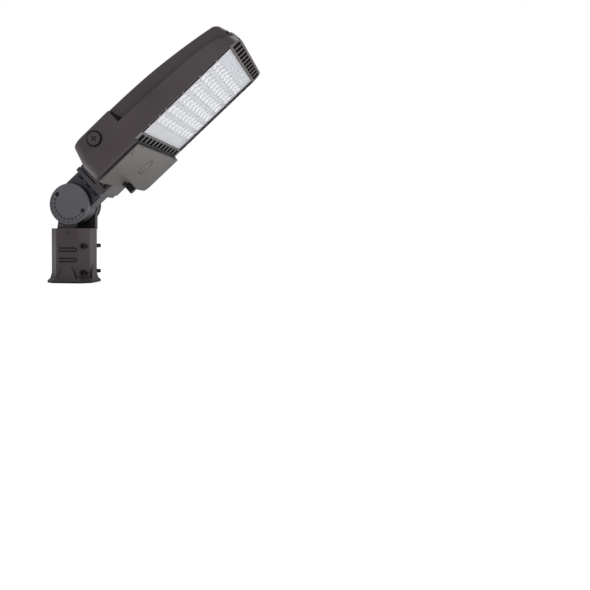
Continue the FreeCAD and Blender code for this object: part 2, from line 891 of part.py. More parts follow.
def grille_slots(span, w0, w1, rounded):
    """Row of air slots across the head, the end ones wider and rounded if asked."""
    slots = []
    half_slot = (grille_pitch - grille_bar) / 2
    middle = (grille_count - 1) / 2
    for index in range(grille_count):
        centre = (index - middle) * grille_pitch
        v0 = centre - half_slot
        v1 = centre + half_slot
        corners = [(span[0], v0), (span[1], v0), (span[1], v1), (span[0], v1)]
        if index == 0:
            corners[0] = (span[0], -grille_end)
            corners[1] = (span[1], -grille_end, grille_corner if rounded else 0)
        if index == grille_count - 1:
            corners[2] = (span[1], grille_end, grille_corner if rounded else 0)
            corners[3] = (span[0], grille_end)
        slots.append(prism_z(corners, w0, w1))
    return slots


def side_slots(w0, w1):
    """Air slots along both long edges, parted by the posts."""
    slots = []
    ends = [side_slot_span[0]]
    for post in side_slot_posts:
        ends.append(post - side_post_width / 2)
        ends.append(post + side_post_width / 2)
    ends.append(side_slot_span[1])
    for u0, u1 in zip(ends[0::2], ends[1::2]):
        for side in (-1, 1):
            v0 = min(side * side_slot[0], side * side_slot[1])
            slots.append(box(u0, u1, v0, v0 + side_slot[1] - side_slot[0], w0, w1))
    return slots


def door_corners(inset):
    """Outline of the door without its tab, drawn in by inset."""
    rear = door_rear + inset
    half = door_half_width - inset
    mouth = door_notch_mouth + inset
    floor = door_notch_floor + inset
    depth = door_rear + door_notch_depth + inset
    radius = door_corner - inset
    front = door_nose_u - inset
    return [
        (front, -half), (front, half), (rear, half, radius), (rear, mouth, 4),
        (depth, floor, 4), (depth, -floor, 4), (rear, -mouth, 4), (rear, -half, radius),
    ]


def driver_foot_places():
    """(u, v) of the driver's four screws."""
    places = []
    reach = driver_size[1] / 2 + driver_foot / 2
    for du in (-driver_foot_hole_u, driver_foot_hole_u):
        for dv in (-reach, reach):
            places.append((driver_centre_u + du, driver_centre_v + dv))
    return places


def housing_outside():
    """Driver box, band, raised top and the boss that the arm bolts to."""
    boss = box(boss_face, box_sections[-1][0] + 1, -boss_half_width, boss_half_width, boss_low, boss_high)
    lip = box(slab_end, boss_face + 1, -boss_half_width, boss_half_width, boss_low, boss_lip_top)
    return fused([
        box_block(0, box_bottom_w, box_top_w), band_block(0), top_block(0, rim_w + band_floor), boss, lip,
    ])


def hinge_reliefs(w0, w1):
    """Pockets over the door's two knuckles."""
    half = knuckle_length / 2 + lug_thickness + lug_side_gap + relief_gap
    reach = nose_r + relief_gap
    pockets = []
    for side in (-1, 1):
        v = side * knuckle_v
        pockets.append(box(door_nose_u - reach, door_nose_u + reach, v - half, v + half, w0, w1))
    return pockets


def hinge_lugs():
    """Two lugs beside each knuckle, drilled for the pin."""
    lugs = []
    pin_hole_r = pin_r + thread_gap
    for side in (-1, 1):
        for end in (-1, 1):
            inner = side * knuckle_v + end * (knuckle_length / 2 + lug_side_gap)
            v0 = min(inner, inner + end * lug_thickness)
            foot = box(door_nose_u - nose_r, door_nose_u + nose_r, v0, v0 + lug_thickness, nose_w, floor_top_w)
            eye = peg(nose_r, (door_nose_u, v0, nose_w), (0, 1, 0), lug_thickness, 12)
            hole = peg(pin_hole_r, (door_nose_u, v0 - 1, nose_w), (0, 1, 0), lug_thickness + 2)
            lugs.append(fused([foot, eye]).cut(hole))
    return lugs


def housing():
    shell = housing_outside()
    # hollows
    shell = shell.cut(box_block(box_wall, floor_top_w, ceiling_w))
    cavity_rear = box(box_front - 0.2, head_front, -box_half_width, box_half_width, rim_w + band_floor, box_top_w + 10)
    shell = shell.cut(band_block(band_wall).common(cavity_rear))
    shell = shell.cut(top_block(top_wall, rim_w + band_floor).common(cavity_rear))
    margin = top_half_width - top_opening_margin
    shell = shell.cut(box(top_opening[0], top_opening[1], -margin, margin, 0, box_top_w + hinge_rise))
    # underside openings
    shell = shell.cut(box(opening_u[0], opening_u[1], -opening_half_v, opening_half_v, rim_w - 1, ring_top_w))
    cuts = grille_slots(front_grille, rim_w - 1, rim_w + band_floor + 1, True)
    cuts += grille_slots(rear_grille, rim_w - 1, rim_w + band_floor + 1, False)
    cuts += side_slots(rim_w - 1, rim_w + band_floor + 1)
    cuts.append(prism_z(door_corners(seal_inset + seal_width), box_bottom_w - 1, floor_top_w + 1))
    cuts.append(wire_channel(slab_end - 1, box_sections[-1][0] + 2))
    cuts.append(peg(stem_r + stem_room + 0.2, (knob_u, 0, box_bottom_w - 1), (0, 0, 1), box_floor + 2, 16))
    # vent notches where the raised top meets the driver box
    cuts.append(prism_y(vent_notch, -top_half_width - 1, -top_half_width + top_wall + 1))
    cuts.append(prism_y(vent_notch, top_half_width - top_wall - 1, top_half_width + 1))
    for side in (-1, 1):
        cuts += side_pocket_cuts(side)
    cuts += hinge_reliefs(box_bottom_w - 1, box_bottom_w + relief_gap)
    cuts.append(front_vent_slot())
    shell = shell.cut(cuts)
    # frame round the light engine, bosses and lugs
    added = [light_frame()] + driver_bosses() + hinge_lugs() + [ground_boss(), plug_boss()]
    shell = fused([shell] + added)
    drills = [
        peg(driver_screw_r + thread_gap, (u, v, ceiling_w - driver_boss_height - 1), (0, 0, 1), driver_screw_reach + 1)
        for u, v in driver_foot_places()
    ]
    drills.append(peg(ground_r + thread_gap, (ground_u, terminal_v, ceiling_w - ground_boss_height - 1),
                      (0, 0, 1), ground_length - ground_head + 2))
    for v, w in arm_bolt_places():
        drills.append(peg(arm_bolt_r + thread_gap, (slab_end - 1, v, w), (1, 0, 0),
                          gasket_thickness + arm_bolt_reach + 2))
    drills += plug_cuts()
    drills.append(peg(grommet_r, (box_front - partition - 1, lead_v, lead_w), (1, 0, 0), partition + 2, 12))
    return shell.cut(drills)


def side_pocket_cuts(side):
    """Recess with a rib in each flank of the rear boss."""
    u0, u1, w0, w1 = side_pocket
    outer = side * (boss_half_width + 1)
    inner = side * (boss_half_width - side_pocket_depth)
    v0 = min(outer, inner)
    v1 = max(outer, inner)
    middle = (w0 + w1) / 2
    return [
        box(u0, u1, v0, v1, w0, middle - side_pocket_rib / 2),
        box(u0, u1, v0, v1, middle + side_pocket_rib / 2, w1),
    ]


def light_frame():
    """Frame that stands round the lens plate and carries the heat sink."""
    outer = box(opening_u[0] - ring_wall_rear, opening_u[1] + ring_wall_front,
                -opening_half_v - ring_wall_side, opening_half_v + ring_wall_side, rim_w, ring_top_w)
    return outer.cut(box(opening_u[0], opening_u[1], -opening_half_v, opening_half_v, rim_w - 1, ring_top_w + 1))


def driver_bosses():
    return [
        peg(driver_boss_r, (u, v, ceiling_w - driver_boss_height), (0, 0, 1), driver_boss_height + box_wall / 2)
        for u, v in driver_foot_places()
    ]


def ground_boss():
    return peg(ground_boss_r, (ground_u, terminal_v, ceiling_w - ground_boss_height), (0, 0, 1),
               ground_boss_height + box_wall / 2)


def plug_boss():
    """Thick wall behind the side plug and the raised ring round it."""
    start = -box_half_width + box_wall / 2
    return peg(plug_scoop_foot_r + 1, (plug_u, start, plug_w), (0, 1, 0), plug_boss_depth, plug_sides)


def plug_cuts():
    """Dished scoop round the plug's head, and the plug's hole."""
    face = -box_half_width
    across = (0, 1, 0)
    scoop = taper(plug_scoop_r, plug_scoop_foot_r, (plug_u, face, plug_w), across, plug_scoop_depth, plug_sides)
    spot = peg(plug_head_r + plug_gap, (plug_u, face - 1, plug_w), across, plug_scoop_depth + 1, plug_sides)
    hole = peg(plug_shank_r + thread_gap, (plug_u, face - 1, plug_w), across, plug_length + 4, plug_sides)
    return [scoop, spot, hole]


# ---- light engine ----
def heat_sink():
    """Plate with lengthwise fins that follow the raised top."""
    u0 = opening_u[0] - ring_wall_rear + sink_margin
    u1 = opening_u[1] + ring_wall_front - sink_margin
    half = opening_half_v + ring_wall_side - sink_margin
    plate = box(u0, u1, -half, half, ring_top_w, sink_top_w)
    crest = [(fin_u[0], top_points[1][1] - fin_below_top)]
    crest += [(u, w - fin_below_top) for u, w in top_points[3::2] if fin_u[0] < u < fin_u[1]]
    crest += [(fin_u[1], top_brow_steps[0][1] - fin_below_top), (fin_u[1], ring_top_w), (fin_u[0], ring_top_w)]
    fins = []
    for index in range(-fin_side_count, fin_side_count + 1):
        centre = index * fin_pitch
        fins.append(prism_y(crest, centre - fin_thickness / 2, centre + fin_thickness / 2))
    sink = fused([plate] + fins)
    for side in (-1, 1):
        sink = sink.cut(peg(board_screw_shank_r + thread_gap, (board_screw_u, side * board_screw_v, ring_top_w - 1),
                            (0, 0, 1), sink_plate))
    return sink.cut(lead_hole(ring_top_w - 1, sink_top_w + 1))


def led_board():
    board = box(board_u0, board_u1, -board_half_v, board_half_v, board_front_w, ring_top_w)
    for side in (-1, 1):
        board = board.cut(peg(board_screw_shank_r + thread_gap,
                              (board_screw_u, side * board_screw_v, board_front_w - 1), (0, 0, 1), board_thickness + 2))
    return board.cut(lead_hole(board_front_w - 1, ring_top_w + 1))


def lens_places():
    """(u, v) of every lens."""
    places = []
    middle = (lens_columns - 1) / 2
    for row in range(lens_rows):
        for column in range(lens_columns):
            places.append((lens_row_first + row * lens_row_pitch, (column - middle) * lens_column_pitch))
    return places


def led_chips():
    half = chip_size / 2
    return group([
        box(u - half, u + half, v - half, v + half, board_front_w - chip_thickness, board_front_w)
        for u, v in lens_places()
    ])


def board_connectors():
    """One wire connector behind each row, near the far edge."""
    length, width, height = connector
    blocks = []
    for row in range(lens_rows + 1):
        u = lens_row_first + row * lens_row_pitch - connector_back
        if u + width / 2 < board_u1:
            blocks.append(box(u - width / 2, u + width / 2, connector_v - length / 2, connector_v + length / 2,
                              max(board_front_w - height, lens_inner_w), board_front_w))
    return group(blocks)


def board_covers():
    """Flat covers over the board's end components."""
    length, width, height = end_cover
    covers = []
    for centre in (opening_u[0] + end_cover_inset, opening_u[1] - end_cover_inset):
        covers.append(box(centre - length / 2, centre + length / 2, end_cover_v - width / 2, end_cover_v + width / 2,
                          max(board_front_w - height, lens_inner_w), board_front_w))
    return group(covers)


def board_screws():
    screws = []
    for side in (-1, 1):
        centre = (board_screw_u, side * board_screw_v, board_front_w)
        shank = peg(board_screw_shank_r, centre, (0, 0, 1), board_thickness + sink_plate - 2)
        head = peg(board_screw_head_r, centre, (0, 0, -1), min(board_screw_head, board_front_w - lens_inner_w))
        screws.append(fused([head, shank]))
    return group(screws)


def lens_plate():
    """Clear sheet with a domed lens over every light source."""
    sheet = box(lens_u0, lens_u1, -lens_half_v, lens_half_v, lens_sheet_w, lens_inner_w)
    dome = faceted_dome(lens_dome_sections, lens_dome_sides, lens_sheet_w)
    domes = []
    for u, v in lens_places():
        copy = dome.copy()
        copy.translate(Vector(u, v, 0))
        domes.append(copy)
    return sheet.fuse(domes)


def lens_gasket():
    """Seal from the lens plate's edge up to the heat sink, round the board."""
    outer = box(lens_u0, lens_u1, -lens_half_v, lens_half_v, lens_inner_w, ring_top_w)
    gap = lens_edge_gap
    hollow = box(board_u0 - gap, board_u1 + gap, -board_half_v - gap, board_half_v + gap,
                 lens_inner_w - 1, ring_top_w + 1)
    return outer.cut(hollow)


# ---- side plug ----
def side_plug():
    """Screw plug with a cross drive."""
    seat = -box_half_width + plug_scoop_depth
    across = (0, 1, 0)
    head = peg(plug_head_r, (plug_u, seat - plug_head, plug_w), across, plug_head - plug_seal_section, plug_sides)
    shank = peg(plug_shank_r, (plug_u, seat - plug_seal_section - 0.5, plug_w), across, plug_length, plug_sides)
    plug = fused([head, shank])
    length, width, depth = plug_cross
    face = seat - plug_head
    for half_u, half_w in ((length / 2, width / 2), (width / 2, length / 2)):
        plug = plug.cut(box(plug_u - half_u, plug_u + half_u, face - 1, face + depth, plug_w - half_w, plug_w + half_w))
    return plug


def plug_seal():
    """Flat ring between the plug's head and its seat."""
    seat = -box_half_width + plug_scoop_depth
    ring = peg(plug_head_r - 0.6, (plug_u, seat - plug_seal_section, plug_w), (0, 1, 0), plug_seal_section, plug_sides)
    hole_r = plug_shank_r + thread_gap
    hole = peg(hole_r, (plug_u, seat - plug_seal_section - 1, plug_w), (0, 1, 0), plug_seal_section + 2, plug_sides)
    return ring.cut(hole)


# ---- door ----
def hook_mark(side):
    """Small hooked slot pressed in the door's face."""
    stroke = 2.2
    drop = 9.0
    turn = 5.0
    v = side * door_mark_v
    w0 = door_outer_w - 1
    w1 = door_outer_w + door_ring_depth
    upright = box(door_mark_u - drop, door_mark_u, v - stroke / 2, v + stroke / 2, w0, w1)
    foot_v0 = min(v, v - side * turn)
    foot = box(door_mark_u - drop, door_mark_u - drop + stroke, foot_v0, foot_v0 + turn, w0, w1)
    return fused([upright, foot])


def driver_door():
    plate = prism_z(door_corners(0), door_outer_w, door_inner_w)
    nose = peg(nose_r, (door_nose_u, -door_half_width, nose_w), (0, 1, 0), 2 * door_half_width, 12)
    tab_front = door_rear + door_notch_depth + 1
    tab = prism_z([
        (tab_front, -door_tab_half_width), (tab_front, door_tab_half_width),
        (door_tab_end, door_tab_half_width, 5), (door_tab_end, -door_tab_half_width, 5),
    ], door_outer_w, door_inner_w)
    door = fused([plate, nose, tab])
    reach = nose_r + relief_gap
    half = knuckle_length / 2
    notch_half = half + lug_side_gap + lug_thickness + lug_side_gap
    for side in (-1, 1):
        v = side * knuckle_v
        door = door.cut(box(door_nose_u - reach, door_nose_u + reach, v - notch_half, v + notch_half,
                            door_outer_w - 1, door_inner_w + 1))
        door = fused([
            door, peg(nose_r, (door_nose_u, v - half, nose_w), (0, 1, 0), knuckle_length, 12),
            box(door_nose_u - reach - 1, door_nose_u, v - half, v + half, door_outer_w, door_inner_w),
        ])
        door = door.cut(rod(pin_r + pin_running_gap, (door_nose_u, v - half - 1, nose_w), (0, 1, 0), knuckle_length + 2))
    ring_foot = (door_ring_u, 0, door_outer_w - 1)
    ring = peg(door_ring_r, ring_foot, (0, 0, 1), door_ring_depth + 1, door_ring_sides)
    ring = ring.cut(peg(door_ring_r - door_ring_width, ring_foot, (0, 0, 1), door_ring_depth + 1, door_ring_sides))
    hole_r = (stem_r + thread_gap) / math.cos(math.pi / 12)
    hole = peg(hole_r, (knob_u, 0, door_outer_w - 1), (0, 0, 1), door_thickness + 2, 12)
    return door.cut([ring, hole, hook_mark(-1), hook_mark(1)])


def door_seal():
    """Seal on the driver box's rim, following the door's outline."""
    outer = prism_z(door_corners(seal_inset), door_inner_w, box_bottom_w)
    seal = outer.cut(prism_z(door_corners(seal_inset + seal_width), door_inner_w - 1, box_bottom_w + 1))
    return seal.cut(hinge_reliefs(door_inner_w - 1, box_bottom_w + 1))


def hinge_pins():
    reach = knuckle_length / 2 + lug_side_gap + lug_thickness
    return group([
        rod(pin_r, (door_nose_u, side * knuckle_v - reach, nose_w), (0, 1, 0), 2 * reach) for side in (-1, 1)
    ])


def door_knob():
    """Fluted thumb screw: handle, collar and stem."""
    top = door_outer_w
    handle_top = top - knob_collar
    corners = []
    for index in range(4 * knob_flutes):
        turn = 2 * math.pi * index / (4 * knob_flutes)
        radius = knob_r - (knob_flute_depth if index % 4 == 0 else 0)
        corners.append((knob_u + radius * math.cos(turn), radius * math.sin(turn)))
    handle = prism_z(corners, handle_top - knob_length, handle_top)
    collar = peg(knob_collar_r, (knob_u, 0, handle_top), (0, 0, 1), knob_collar, 16)
    stem_top = box_bottom_w + stem_reach
    stem = rod(stem_r, (knob_u, 0, handle_top), (0, 0, 1), stem_top - handle_top)
    return fused([handle, collar, stem])


def knob_clip():
    ring = peg(clip_r, (knob_u, 0, door_inner_w), (0, 0, 1), clip_thickness, 12)
    hole_r = stem_r / math.cos(math.pi / 12)
    return ring.cut(peg(hole_r, (knob_u, 0, door_inner_w - 1), (0, 0, 1), clip_thickness + 2, 12))


# ---- inside the driver box ----
def led_driver():
    """Potted power supply with a mounting foot at each end."""
    length_u, length_v, height = driver_size
    foot_w1 = ceiling_w - driver_boss_height
    v0 = driver_centre_v - length_v / 2
    v1 = driver_centre_v + length_v / 2
    u0 = driver_centre_u - length_u / 2
    u1 = driver_centre_u + length_u / 2
    case_top = ceiling_w - 0.2
    case = box(u0, u1, v0, v1, case_top - height, case_top)
    feet = box(u0 + driver_foot_inset, u1 - driver_foot_inset, v0 - driver_foot, v1 + driver_foot, foot_w1 - driver_foot_thickness, foot_w1)
    driver = fused([case, feet])
    for u, v in driver_foot_places():
        driver = driver.cut(peg(driver_screw_r + thread_gap, (u, v, foot_w1 - driver_foot_thickness - 1), (0, 0, 1),
                                driver_foot_thickness + 2))
    return driver


def driver_screws():
    seat = ceiling_w - driver_boss_height - driver_foot_thickness
    screws = []
    for u, v in driver_foot_places():
        shank = peg(driver_screw_r, (u, v, seat), (0, 0, 1), driver_screw_reach + driver_foot_thickness - 0.5)
        head = peg(driver_screw_head_r, (u, v, seat - driver_screw_head), (0, 0, 1), driver_screw_head)
        screws.append(fused([head, shank]))
    return group(screws)


def surge_protector():
    length_u, length_v, height = surge_size
    return prism_z([
        (surge_u - length_u / 2, surge_v - length_v / 2, 3), (surge_u + length_u / 2, surge_v - length_v / 2, 3),
        (surge_u + length_u / 2, surge_v + length_v / 2, 3), (surge_u - length_u / 2, surge_v + length_v / 2, 3),
    ], ceiling_w - height, ceiling_w)


def terminal_block():
    """Three-pole block with a clamp screw well and wire entry at each pole."""
    length_u, length_v, height = terminal_size
    block = box(terminal_u - length_u / 2, terminal_u + length_u / 2,
                terminal_v - length_v / 2, terminal_v + length_v / 2, ceiling_w - height, ceiling_w)
    pitch = length_u / terminal_poles
    for pole in range(terminal_poles):
        u = terminal_u - length_u / 2 + (pole + 0.5) * pitch
        block = block.cut(peg(2.4, (u, terminal_v, ceiling_w - height - 1), (0, 0, 1), 5))
        block = block.cut(peg(1.8, (u, terminal_v - length_v / 2 - 1, ceiling_w - height * 0.6), (0, 1, 0), 6))
    return block


def ground_screw():
    seat = ceiling_w - ground_boss_height
    head = hexagon(ground_head_r * math.sqrt(3), (ground_u, terminal_v, seat - ground_head), (0, 0, 1), ground_head)
    shank = peg(ground_r, (ground_u, terminal_v, seat - 0.5), (0, 0, 1), ground_length - ground_head)
    return fused([head, shank])


def led_lead():
    """Lead from the driver's end, through the grommet and between two fins, down to the board."""
    start = Vector(lead_start_u, driver_centre_v + driver_size[1] / 2, lead_w)
    turn = Vector(lead_start_u, lead_v, lead_w)
    drop = Vector(lead_drop_u, lead_v, lead_w)
    end = Vector(lead_drop_u, lead_v, board_front_w)
    path = Part.makePolygon(eased_path([start, turn, drop, end], lead_bend_r))
    section = ring_of(lead_r, 8, 0)
    section.Placement = FreeCAD.Placement(start, FreeCAD.Rotation(Vector(0, 0, 1), Vector(0, 1, 0)))
    return path.makePipeShell([section], True, False, 1)


def lead_hole(w0, w1):
    """Hole for the lead in the plates that it passes down through."""
    return peg(lead_r + lead_hole_gap, (lead_drop_u, lead_v, w0), (0, 0, 1), w1 - w0, 12)


def lead_grommet():
    """Rubber sleeve in the partition with a flange on each face."""
    inner = box_front - partition
    body = peg(grommet_r, (inner, lead_v, lead_w), (1, 0, 0), partition, 12)
    flange = peg(grommet_flange_r, (inner - grommet_flange, lead_v, lead_w), (1, 0, 0), grommet_flange, 12)
    hole = peg(lead_r, (inner - 5, lead_v, lead_w), (1, 0, 0), partition + 10)
    return fused([body, flange]).cut(hole)


nodes = {
    "slip_fitter": (slip_fitter, False),
    "set_screws": (set_screws, False),
    "knuckle_arm": (knuckle_arm, True),
    "dial_near": (lambda: dial(-1), True),
    "dial_far": (lambda: dial(1), True),
    "dial_screws": (dial_screws, True),
    "arm_bolts": (arm_bolts, True),
    "arm_gasket": (arm_gasket, True),
    "housing": (housing, True),
    "heat_sink": (heat_sink, True),
    "led_board": (led_board, True),
    "led_chips": (led_chips, True),
    "board_connectors": (board_connectors, True),
    "board_covers": (board_covers, True),
    "board_screws": (board_screws, True),
    "lens_plate": (lens_plate, True),
    "lens_gasket": (lens_gasket, True),
    "side_plug": (side_plug, True),
    "plug_seal": (plug_seal, True),
    "driver_door": (driver_door, True),
    "door_seal": (door_seal, True),
    "hinge_pins": (hinge_pins, True),
    "door_knob": (door_knob, True),
    "knob_clip": (knob_clip, True),
    "led_driver": (led_driver, True),
    "driver_screws": (driver_screws, True),
    "surge_protector": (surge_protector, True),
    "terminal_block": (terminal_block, True),
    "ground_screw": (ground_screw, True),
    "lead_grommet": (lead_grommet, True),
    "led_lead": (led_lead, True),
}

os.makedirs("parts", exist_ok=True)
for name, (make, tilted) in nodes.items():
    shape = make()
    if tilted:
        shape = in_head(shape)
    shape.exportStep("parts/" + name + ".step")
    print(name, "solids", len(shape.Solids), "volume", round(shape.Volume), "valid", shape.isValid())
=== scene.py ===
import math

import bmesh
import bpy
from mathutils import Matrix, Vector


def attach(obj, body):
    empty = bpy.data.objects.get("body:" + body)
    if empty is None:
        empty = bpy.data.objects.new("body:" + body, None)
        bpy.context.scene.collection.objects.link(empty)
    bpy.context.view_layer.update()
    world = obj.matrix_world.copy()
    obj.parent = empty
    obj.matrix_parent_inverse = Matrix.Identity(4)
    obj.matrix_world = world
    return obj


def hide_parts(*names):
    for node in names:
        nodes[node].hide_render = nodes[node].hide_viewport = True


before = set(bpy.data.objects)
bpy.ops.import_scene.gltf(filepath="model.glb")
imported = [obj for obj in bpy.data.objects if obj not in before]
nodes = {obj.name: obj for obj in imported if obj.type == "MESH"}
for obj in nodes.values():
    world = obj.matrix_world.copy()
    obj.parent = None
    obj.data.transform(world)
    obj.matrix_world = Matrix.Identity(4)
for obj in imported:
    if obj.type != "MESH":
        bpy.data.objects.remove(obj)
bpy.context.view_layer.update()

# Shoebox area light on a tilting slip fitter. Lengths in this file are millimetres unless a name
# ends in _m. The head frame (u, v, w) has its origin on the tilt hinge: u runs out along the arm,
# v along the hinge and w away from the light.
MM = 0.001
TILT = math.radians(42.4)
HINGE = Vector((3.0, 0.0, 151.2))
U_AXIS = Vector((math.cos(TILT), 0.0, math.sin(TILT)))
V_AXIS = Vector((0.0, 1.0, 0.0))
W_AXIS = Vector((-math.sin(TILT), 0.0, math.cos(TILT)))


def head(u, v, w):
    """Point of the head frame, in metres in the row frame."""
    return (HINGE + U_AXIS * u + V_AXIS * v + W_AXIS * w) * MM


# ---- camera ----
camera_data = bpy.data.cameras.new("product_camera")
camera_data.sensor_width = 36.0
camera_data.lens = 44.20
camera_data.shift_x = 0.1237
camera_data.shift_y = -0.1136
camera = bpy.data.objects.new("product_camera", camera_data)
camera.location = (0.52639, -1.34862, 0.10535)
camera.rotation_euler = (math.radians(90.0), 0.0, math.radians(9.81))
bpy.context.scene.collection.objects.link(camera)
bpy.context.scene.camera = camera
bpy.context.scene.view_settings.view_transform = "Standard"


# ---- materials ----
def linear(code):
    """sRGB hex colour as linear RGBA."""
    channels = [int(code[place:place + 2], 16) / 255 for place in (1, 3, 5)]
    return [c / 12.92 if c <= 0.04045 else ((c + 0.055) / 1.055) ** 2.4 for c in channels] + [1.0]


def per_metre(size_mm):
    """Texture scale that repeats about once in a real size."""
    return 1000.0 / size_mm


def add_node(tree, kind, settings=None, links=None):
    """One shader node with its settings and the sockets that feed it."""
    node = tree.nodes.new(kind)
    for key, value in (settings or {}).items():
        if isinstance(key, int) or key in node.inputs:
            node.inputs[key].default_value = value
        else:
            setattr(node, key, value)
    for key, source in (links or {}).items():
        tree.links.new(source, node.inputs[key])
    return node


def start_material(name):
    """Empty node material and its output."""
    material = bpy.data.materials.new(name)
    material.use_nodes = True
    tree = material.node_tree
    tree.nodes.clear()
    output = tree.nodes.new("ShaderNodeOutputMaterial")
    return material, tree, output


# Reach of the painted shade that keeps narrow grooves black, and the refractive index of paint and
# plastic.
GROOVE_SHADE_REACH_MM = 4.5
PAINT_IOR = 1.5


def textured(name, dark, light, roughness, grain_mm, grain_depth_mm, metallic=0.0,
             cloud_mm=70.0, edge_mm=0.5, edge_wear_and_highlight_tint=None, painted_shade_reach_mm=None):
    """Solid finish with clouded colour, a fine grain in the bump and softly broken edges.

    Given a reach for hollows, the colour falls towards black in hollows of about that reach and in
    narrow grooves: this is painted shade.
    """
    material, tree, output = start_material(name)
    place = add_node(tree, "ShaderNodeTexCoord")
    cloud = add_node(tree, "ShaderNodeTexNoise", {"Scale": per_metre(cloud_mm), "Detail": 3.0},
                     {"Vector": place.outputs["Object"]})
    speck = add_node(tree, "ShaderNodeTexNoise", {"Scale": per_metre(grain_mm), "Detail": 2.0},
                     {"Vector": place.outputs["Object"]})
    blend = add_node(tree, "ShaderNodeMath", {"operation": "MULTIPLY_ADD", 1: 0.45, 2: 0.0},
                     {0: speck.outputs["Fac"]})
    blend_2 = add_node(tree, "ShaderNodeMath", {"operation": "MULTIPLY_ADD", 1: 0.55},
                       {0: cloud.outputs["Fac"], 2: blend.outputs["Value"]})
    colour = add_node(tree, "ShaderNodeValToRGB", {}, {"Fac": blend_2.outputs["Value"]})
    colour.color_ramp.elements[0].position = 0.38
    colour.color_ramp.elements[0].color = linear(dark)
    colour.color_ramp.elements[1].position = 0.62
    colour.color_ramp.elements[1].color = linear(light)
    rough = add_node(tree, "ShaderNodeMapRange",
                     {"To Min": roughness - 0.06, "To Max": roughness + 0.06},
                     {"Value": speck.outputs["Fac"]})
    edge = add_node(tree, "ShaderNodeBevel", {"samples": 8, "Radius": edge_mm * MM})
    bump = add_node(tree, "ShaderNodeBump", {"Strength": 0.6, "Distance": grain_depth_mm * MM},
                    {"Height": speck.outputs["Fac"], "Normal": edge.outputs["Normal"]})
    shader = add_node(tree, "ShaderNodeBsdfPrincipled", {"Metallic": metallic, "IOR": PAINT_IOR},
                      {"Roughness": rough.outputs["Result"], "Normal": bump.outputs["Normal"]})
    finish = colour.outputs["Color"]
    if edge_wear_and_highlight_tint:
        # Where the softened normal leaves the true one there is an edge: the colour is lightened there,
        # partly for a thinner coat and partly as a painted highlight.
        surface = add_node(tree, "ShaderNodeNewGeometry")
        agree = add_node(tree, "ShaderNodeVectorMath", {"operation": "DOT_PRODUCT"},
                         {0: edge.outputs["Normal"], 1: surface.outputs["Normal"]})
        worn_and_lit_edge = add_node(tree, "ShaderNodeMapRange",
                        {"From Min": 0.995, "From Max": 0.80, "To Max": 0.45},
                        {"Value": agree.outputs["Value"]})
        mixed = add_node(tree, "ShaderNodeMix", {"data_type": "RGBA"},
                         {"Factor": worn_and_lit_edge.outputs["Result"]})
        tree.links.new(finish, mixed.inputs[6])
        mixed.inputs[7].default_value = linear(edge_wear_and_highlight_tint)
        finish = mixed.outputs[2]
    # Painted shade: ambient occlusion darkens the colour towards black in hollows and narrow grooves.
    if painted_shade_reach_mm:
        hollow = add_node(tree, "ShaderNodeAmbientOcclusion",
                          {"samples": 8, "Distance": painted_shade_reach_mm * MM})
        wide_share = add_node(tree, "ShaderNodeMapRange", {"From Min": 0.35, "From Max": 0.80},
                              {"Value": hollow.outputs["AO"]})
        groove = add_node(tree, "ShaderNodeAmbientOcclusion",
                          {"samples": 8, "Distance": GROOVE_SHADE_REACH_MM * MM})
        fine_share = add_node(tree, "ShaderNodeMapRange", {"From Min": 0.70, "From Max": 0.94},
                              {"Value": groove.outputs["AO"]})
        open_share = add_node(tree, "ShaderNodeMath", {"operation": "MULTIPLY"},
                              {0: wide_share.outputs["Result"], 1: fine_share.outputs["Result"]})
        painted_shade_mix = add_node(tree, "ShaderNodeMix", {"data_type": "RGBA"},
                          {"Factor": open_share.outputs["Value"]})
        # Colour of the painted shade.
        painted_shade_mix.inputs[6].default_value = linear("#0a0908")
        tree.links.new(finish, painted_shade_mix.inputs[7])
        finish = painted_shade_mix.outputs[2]
    tree.links.new(finish, shader.inputs["Base Color"])
    tree.links.new(shader.outputs["BSDF"], output.inputs["Surface"])
    return material


# Bronze polyester powder coat, sprayed and baked on cast aluminium: a brown-grey with a fine
# orange-peel grain. The grain of about 0.5 mm is drawn at 1.8 mm so that it shows; painted shade darkens
# its hollows and grooves.
bronze_coat = textured("bronze_polyester_powder_coat", "#504647", "#5b5152", 0.40, 1.8, 0.06,
                       edge_mm=0.8, edge_wear_and_highlight_tint="#857e7a", painted_shade_reach_mm=16.0)
# The same powder on the slip fitter, with painted shade reaching far into its deep fork.
fitter_coat = textured("bronze_powder_coat_on_cast_fitter", "#504546", "#5c5152", 0.44, 1.8, 0.07,
                       edge_mm=0.8, edge_wear_and_highlight_tint="#7d7470", painted_shade_reach_mm=42.0)
# The same powder on the pressed door: flatter, so a little more even. Its warmer, yellower colour is
# painted warm light bouncing up from below.
door_coat_warm_lit = textured("bronze_powder_coat_warm_lit_on_door", "#45413d", "#4e4a45", 0.42, 1.8, 0.04,
                     edge_mm=0.6, edge_wear_and_highlight_tint="#857f78", painted_shade_reach_mm=8.0)
# Arm and dials: a cooler, smoother grey coat over machined castings.
arm_coat = textured("slate_powder_coat_on_machined_casting", "#4a484f", "#545259", 0.44, 1.2, 0.03,
                    edge_mm=0.7, edge_wear_and_highlight_tint="#85828a", painted_shade_reach_mm=14.0)
dial_coat = textured("smooth_slate_paint_on_dial", "#6b696e", "#737176", 0.42, 1.0, 0.015,
                     cloud_mm=50.0, edge_mm=0.5, edge_wear_and_highlight_tint="#8b888f")
# Black anodised aluminium, extruded: nearly black, dull.
fin_finish = textured("black_anodised_extrusion", "#050505", "#0a0909", 0.65, 2.5, 0.02)
# Black oxide on machined steel screws: deep black, slightly oily.
screw_finish = textured("black_oxide_on_steel_screws", "#050505", "#0d0d0d", 0.40, 0.8, 0.02,
                        edge_mm=0.25)
